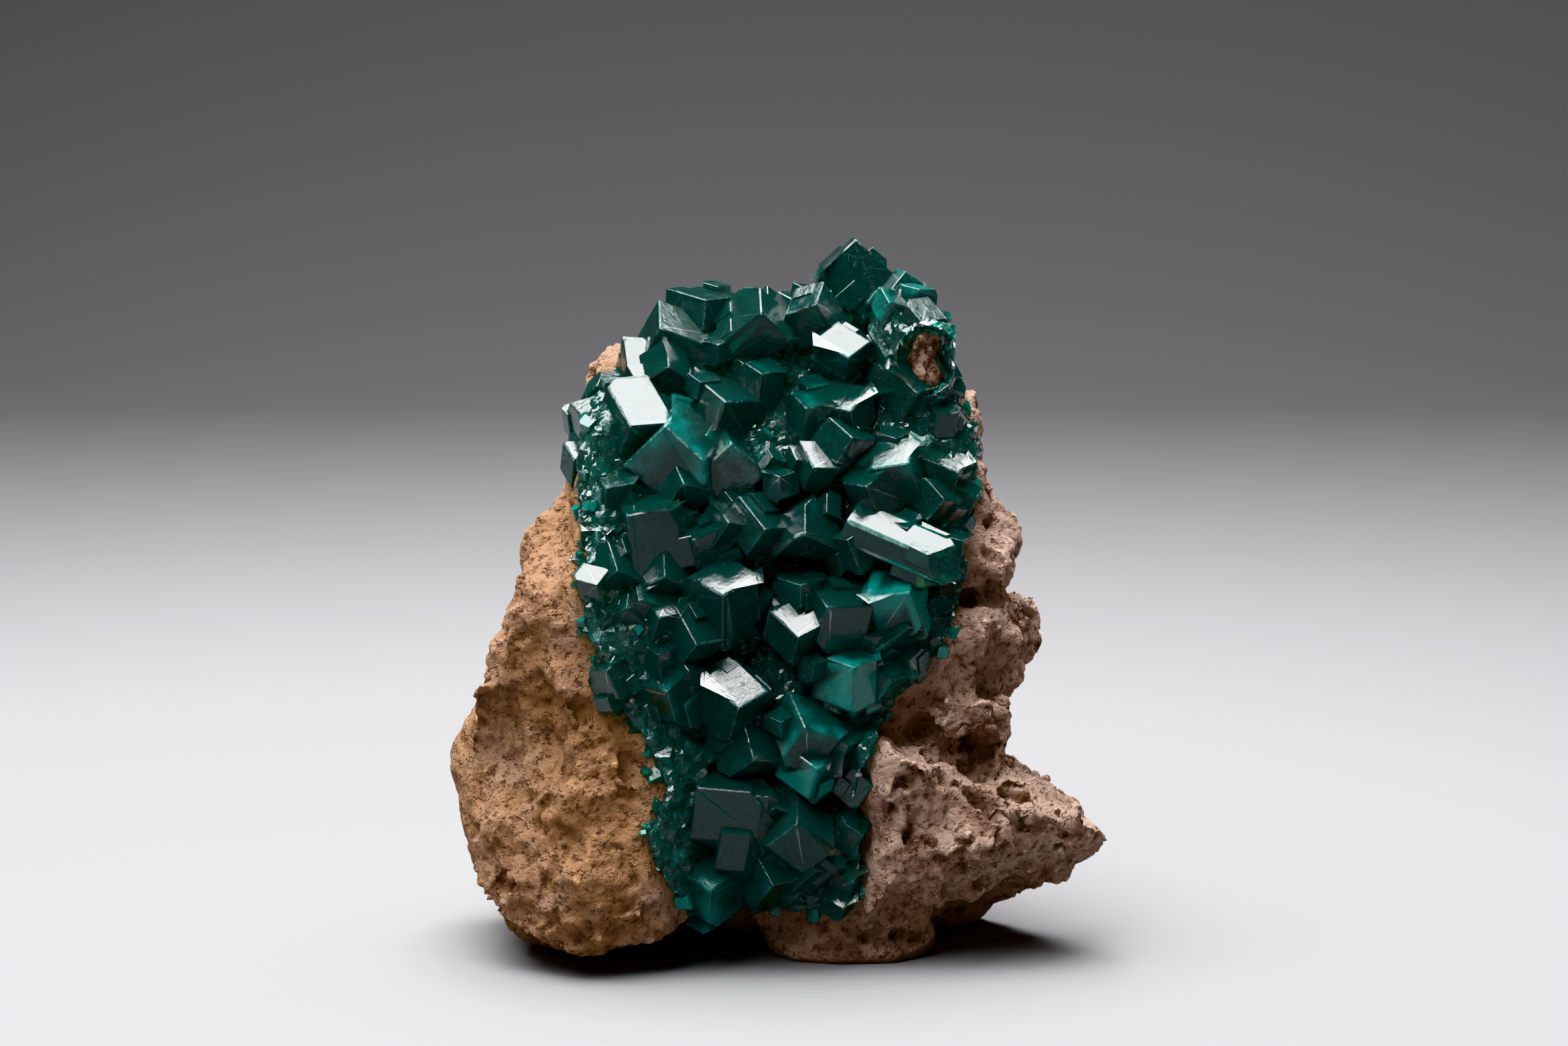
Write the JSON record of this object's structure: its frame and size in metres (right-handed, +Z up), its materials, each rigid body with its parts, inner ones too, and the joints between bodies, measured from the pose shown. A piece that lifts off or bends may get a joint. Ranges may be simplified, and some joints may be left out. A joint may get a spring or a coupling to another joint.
{
  "type": "mineral specimen",
  "caption": "Dioptase specimen for display: a crust of blocky emerald-green crystals on the front of a rugged pinkish-tan carbonate rock that stands on its own feet.",
  "frame": {"origin": "on the surface that the rock stands on, under the middle of the specimen's bounding box", "axes": "+Z up, -Y towards the viewer, out of the crystal-covered front, +X to the viewer's right"},
  "size_m": [0.071, 0.0506, 0.0754],
  "materials": {
    "matrix": "rough, pitted, matt",
    "dioptase": "vitreous crystal faces, deep emerald green"
  },
  "bodies": {
    "root": {"matrix_rock": "matrix", "dioptase_crust": "dioptase"}
  },
  "joints": []
}
